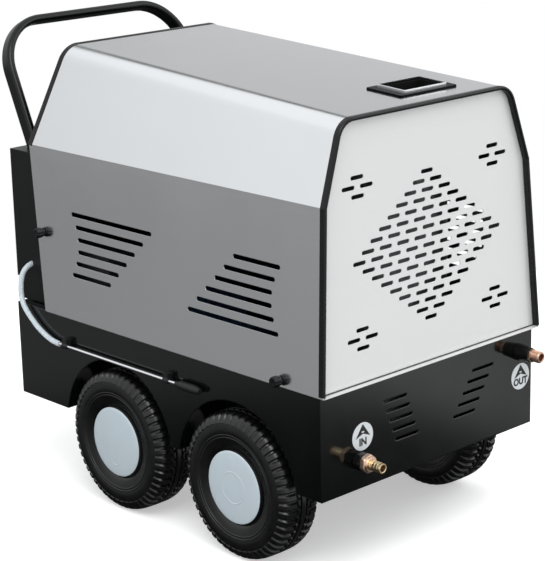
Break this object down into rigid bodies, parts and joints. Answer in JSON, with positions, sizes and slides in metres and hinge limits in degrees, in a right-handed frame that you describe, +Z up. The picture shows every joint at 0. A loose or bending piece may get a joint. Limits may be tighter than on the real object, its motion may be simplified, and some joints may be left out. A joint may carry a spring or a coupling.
{
  "type": "pressure washer",
  "caption": "Mobile hot-water pressure washer: steel tray on pneumatic wheels, lift-off stainless hood, push handle, control box, motor pump and boiler inside.",
  "frame": {"origin": "on the floor, under the middle of the whole machine", "axes": "+Z up, -Y towards the front with the water connections, +X to the right seen from the front"},
  "size_m": [0.5676, 0.9626, 0.8533],
  "materials": {
    "black_steel": "gloss powder coat",
    "handle_black": "satin powder coat",
    "steel": "turned",
    "stainless": "brushed, long grain",
    "trim_rubber": "satin",
    "flue_metal": "satin black",
    "galvanised": "galvanised",
    "panel_plastic": "fine grain",
    "knob_plastic": "moulded",
    "gauge_metal": "polished",
    "clear": "clear",
    "needle_red": "satin",
    "lamp_lens": "translucent",
    "hose": "translucent tube",
    "brass": "machined",
    "marker": "printed film",
    "motor_paint": "semi-gloss",
    "rotor_steel": "turned",
    "coil_steel": "heat tinted",
    "burner_paint": "semi-gloss",
    "tank_plastic": "rotomoulded",
    "pipe": "braided hose cover",
    "tyre": "moulded rubber",
    "rim": "satin",
    "hub_cap": "moulded"
  },
  "bodies": {
    "chassis": {"chassis": "black_steel", "axles": "steel", "axle_clamps": "black_steel", "axle_washers": "steel", "rear_frame": "black_steel", "control_box": "black_steel", "control_panel": "panel_plastic", "gauge_case": "gauge_metal", "gauge_lens": "clear", "signal_lamps": "lamp_lens", "handle": "handle_black", "handle_bolts": "steel", "cable_gland": "panel_plastic", "suction_hose": "hose", "suction_tube": "steel", "tube_clips": "panel_plastic", "suction_filter": "panel_plastic", "water_inlet": "brass", "water_outlet": "brass", "outlet_boss": "trim_rubber", "marker_plates": "marker", "motor": "motor_paint", "fan_cover": "galvanised", "pump_crankcase": "motor_paint", "pump_head": "brass", "unloader_valve": "brass", "boiler_shell": "galvanised", "heating_coil": "coil_steel", "flue_duct": "galvanised", "burner": "burner_paint", "fuel_tank": "tank_plastic", "float_tank": "tank_plastic", "water_pipes": "pipe"},
    "hood": {"hood_shell": "stainless", "front_panel": "stainless", "front_trim": "trim_rubber", "rear_trim": "trim_rubber", "flue_rim": "flue_metal"},
    "front_left_hood_knob": {"front_left_hood_knob": "knob_plastic"},
    "front_right_hood_knob": {"front_right_hood_knob": "knob_plastic"},
    "rear_left_hood_knob": {"rear_left_hood_knob": "knob_plastic"},
    "rear_right_hood_knob": {"rear_right_hood_knob": "knob_plastic"},
    "front_left_wheel": {"front_left_tyre": "tyre", "front_left_rim": "rim", "front_left_hub_cap": "hub_cap"},
    "front_right_wheel": {"front_right_tyre": "tyre", "front_right_rim": "rim", "front_right_hub_cap": "hub_cap"},
    "rear_left_wheel": {"rear_left_tyre": "tyre", "rear_left_rim": "rim", "rear_left_hub_cap": "hub_cap"},
    "rear_right_wheel": {"rear_right_tyre": "tyre", "rear_right_rim": "rim", "rear_right_hub_cap": "hub_cap"},
    "switch_knob": {"switch_knob": "knob_plastic"},
    "thermostat_knob": {"thermostat_knob": "knob_plastic"},
    "detergent_knob": {"detergent_knob": "knob_plastic"},
    "gauge_needle": {"gauge_needle": "needle_red"},
    "fuel_cap": {"fuel_cap": "knob_plastic"},
    "motor_rotor": {"motor_rotor": "rotor_steel"}
  },
  "joints": [
    {"name": "hood_lift", "type": "slide", "parent": "chassis", "child": "hood", "axis": [0, 0, 1], "range_m": [0, 0.45]},
    {"name": "front_left_hood_knob_turn", "type": "hinge", "parent": "hood", "child": "front_left_hood_knob", "pos_m": [-0.27, -0.33826, 0.347], "axis": [-1, 0, 0], "continuous": true},
    {"name": "front_right_hood_knob_turn", "type": "hinge", "parent": "hood", "child": "front_right_hood_knob", "pos_m": [0.27, -0.33826, 0.347], "axis": [1, 0, 0], "continuous": true},
    {"name": "rear_left_hood_knob_turn", "type": "hinge", "parent": "hood", "child": "rear_left_hood_knob", "pos_m": [-0.27, 0.29674, 0.484], "axis": [-1, 0, 0], "continuous": true},
    {"name": "rear_right_hood_knob_turn", "type": "hinge", "parent": "hood", "child": "rear_right_hood_knob", "pos_m": [0.27, 0.29674, 0.484], "axis": [1, 0, 0], "continuous": true},
    {"name": "front_left_wheel_spin", "type": "hinge", "parent": "chassis", "child": "front_left_wheel", "pos_m": [-0.23, -0.22126, 0.13], "axis": [1, 0, 0], "continuous": true},
    {"name": "front_right_wheel_spin", "type": "hinge", "parent": "chassis", "child": "front_right_wheel", "pos_m": [0.23, -0.22126, 0.13], "axis": [1, 0, 0], "continuous": true},
    {"name": "rear_left_wheel_spin", "type": "hinge", "parent": "chassis", "child": "rear_left_wheel", "pos_m": [-0.23, 0.09474, 0.13], "axis": [1, 0, 0], "continuous": true},
    {"name": "rear_right_wheel_spin", "type": "hinge", "parent": "chassis", "child": "rear_right_wheel", "pos_m": [0.23, 0.09474, 0.13], "axis": [1, 0, 0], "continuous": true},
    {"name": "switch_turn", "type": "hinge", "parent": "chassis", "child": "switch_knob", "pos_m": [-0.12, 0.41574, 0.53904], "axis": [0, -1, 0], "range_deg": [0, 90]},
    {"name": "thermostat_turn", "type": "hinge", "parent": "chassis", "child": "thermostat_knob", "pos_m": [0, 0.41574, 0.53904], "axis": [0, -1, 0], "range_deg": [0, 270]},
    {"name": "detergent_turn", "type": "hinge", "parent": "chassis", "child": "detergent_knob", "pos_m": [-0.12, 0.41574, 0.44388], "axis": [0, -1, 0], "range_deg": [0, 270]},
    {"name": "gauge_needle_swing", "type": "hinge", "parent": "chassis", "child": "gauge_needle", "pos_m": [0.12, 0.41574, 0.53904], "axis": [0, -1, 0], "range_deg": [0, 270], "stiffness_Nm_per_rad": 0.002},
    {"name": "fuel_cap_turn", "type": "hinge", "parent": "chassis", "child": "fuel_cap", "pos_m": [0.15, 0.29874, 0.6663], "axis": [0, -1, 0], "range_deg": [0, 90]},
    {"name": "motor_spin", "type": "hinge", "parent": "chassis", "child": "motor_rotor", "pos_m": [-0.06, 0.04474, 0.262], "axis": [0, 1, 0], "continuous": true}
  ]
}
